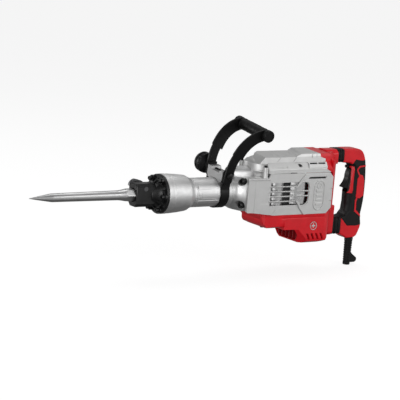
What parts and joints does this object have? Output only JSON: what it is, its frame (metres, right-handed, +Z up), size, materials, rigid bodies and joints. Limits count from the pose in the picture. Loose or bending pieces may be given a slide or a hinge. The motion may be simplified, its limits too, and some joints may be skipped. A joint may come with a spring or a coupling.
{
  "type": "electric demolition hammer",
  "caption": "Electric demolition hammer with a hexagonal point chisel, swivel side handle, slatted side covers and a sprung D-shaped rear handle with a trigger.",
  "frame": {"origin": "middle of the flat under the motor cover", "axes": "+X from the chisel to the rear handle along the hammering axis, +Z up, -Y towards the side with the badge boss"},
  "size_m": [1.0395, 0.1804, 0.4106],
  "materials": {
    "chisel_steel": "ground",
    "cast_aluminium": "cast, satin",
    "silver_cover": "satin silver",
    "black_steel": "satin black",
    "red_plastic": "semi-gloss red",
    "black_plastic": "matte black",
    "black_rubber": "matte black",
    "copper": "turned copper"
  },
  "bodies": {
    "hammer": {"nose_cover": "black_steel", "flange_bolt_1": "black_steel", "flange_bolt_2": "black_steel", "flange_bolt_3": "black_steel", "flange_bolt_4": "black_steel", "flange_bolt_5": "black_steel", "flange_bolt_6": "black_steel", "front_case": "cast_aluminium", "tool_sleeve": "chisel_steel", "barrel": "cast_aluminium", "cylinder_liner": "chisel_steel", "crank_case": "cast_aluminium", "case_bolt_upper_near": "black_steel", "case_bolt_lower_near": "black_steel", "case_bolt_upper_far": "black_steel", "case_bolt_lower_far": "black_steel", "stator": "chisel_steel", "motor_case": "cast_aluminium", "upper_bearing": "chisel_steel", "lower_bearing": "chisel_steel", "side_cover_near": "silver_cover", "side_cover_far": "silver_cover", "top_cover": "silver_cover", "lower_cover": "red_plastic", "motor_cover": "red_plastic", "rear_housing": "red_plastic", "upper_bellows": "black_rubber", "lower_bellows": "black_rubber"},
    "bit": {"chisel": "chisel_steel"},
    "latch": {"retainer_latch": "black_steel"},
    "anvil": {"impact_bolt": "chisel_steel"},
    "flying_striker": {"striker": "chisel_steel"},
    "driven_piston": {"piston": "cast_aluminium", "piston_pin": "chisel_steel"},
    "rod": {"connecting_rod": "chisel_steel"},
    "side_handle": {"clamp_band": "black_steel", "side_arm_near": "black_steel", "side_arm_far": "black_steel", "side_grip": "black_rubber", "grip_rod": "chisel_steel", "grip_cap_near": "black_plastic", "grip_cap_far": "black_plastic", "clamp_saddle": "cast_aluminium", "clamp_bolt": "black_steel"},
    "knob": {"clamp_knob": "black_plastic"},
    "crank": {"crankshaft": "chisel_steel", "crank_gear": "chisel_steel"},
    "idler": {"idler_gear": "chisel_steel"},
    "rotor": {"armature": "chisel_steel", "commutator": "copper", "fan": "black_plastic"},
    "rear_handle": {"handle_shell_near": "red_plastic", "handle_shell_far": "red_plastic", "grip_overmold": "black_rubber", "damper_rod_upper": "chisel_steel", "damper_rod_lower": "chisel_steel", "switch_body": "black_plastic", "cable_guard": "black_rubber"},
    "trigger_lever": {"trigger": "black_plastic"},
    "lock": {"lock_button": "black_plastic"}
  },
  "joints": [
    {"name": "chisel_slide", "type": "slide", "parent": "hammer", "child": "bit", "axis": [-1, 0, 0], "range_m": [0, 0.03]},
    {"name": "retainer_turn", "type": "hinge", "parent": "hammer", "child": "latch", "pos_m": [-0.513, 0, 0.155], "axis": [0, 1, 0], "range_deg": [-120, 0]},
    {"name": "impact_bolt_slide", "type": "slide", "parent": "hammer", "child": "anvil", "axis": [-1, 0, 0], "range_m": [0, 0.009]},
    {"name": "piston_stroke", "type": "slide", "parent": "hammer", "child": "driven_piston", "axis": [1, 0, 0], "range_m": [0, 0.044]},
    {"name": "striker_flight", "type": "slide", "parent": "hammer", "child": "flying_striker", "axis": [1, 0, 0], "range_m": [0, 0.044]},
    {"name": "rod_swing", "type": "hinge", "parent": "driven_piston", "child": "rod", "pos_m": [-0.284, 0, 0.138], "axis": [0, 0, 1], "range_deg": [-11.3, 11.3]},
    {"name": "side_handle_swivel", "type": "hinge", "parent": "hammer", "child": "side_handle", "pos_m": [-0.284, 0, 0.138], "axis": [1, 0, 0], "range_deg": [-180, 180]},
    {"name": "clamp_knob_turn", "type": "hinge", "parent": "side_handle", "child": "knob", "pos_m": [-0.284, 0.06196, 0.20365], "axis": [0, 0.9914, 0.1305], "range_deg": [0, 720]},
    {"name": "motor_spin", "type": "hinge", "parent": "hammer", "child": "rotor", "pos_m": [-0.0575, 0, 0.138], "axis": [0, 0, 1], "continuous": true},
    {"name": "idler_spin", "type": "hinge", "parent": "hammer", "child": "idler", "pos_m": [-0.099, 0, 0.138], "axis": [0, 0, 1], "continuous": true},
    {"name": "crank_spin", "type": "hinge", "parent": "hammer", "child": "crank", "pos_m": [-0.15, 0, 0.138], "axis": [0, 0, 1], "continuous": true},
    {"name": "rear_handle_travel", "type": "slide", "parent": "hammer", "child": "rear_handle", "axis": [-1, 0, 0], "range_m": [0, 0.008], "stiffness_N_per_m": 9000, "springref_m": -0.002, "deforming": ["upper_bellows", "lower_bellows"]},
    {"name": "trigger_pull", "type": "hinge", "parent": "rear_handle", "child": "trigger_lever", "pos_m": [0.162, 0, 0.185], "axis": [0, -1, 0], "range_deg": [0, 12], "stiffness_Nm_per_rad": 1, "springref_deg": -11.46},
    {"name": "lock_button_press", "type": "slide", "parent": "rear_handle", "child": "lock", "axis": [1, 0, 0], "range_m": [0, 0.004], "stiffness_N_per_m": 400, "springref_m": -0.003}
  ],
  "couplings": [
    {"joint": "impact_bolt_slide", "follows": "chisel_slide", "ratio": 0.3},
    {"joint": "striker_flight", "follows": "piston_stroke", "ratio": 0.9},
    {"joint": "idler_spin", "follows": "motor_spin", "ratio": -0.21053},
    {"joint": "crank_spin", "follows": "motor_spin", "ratio": 0.064777}
  ]
}
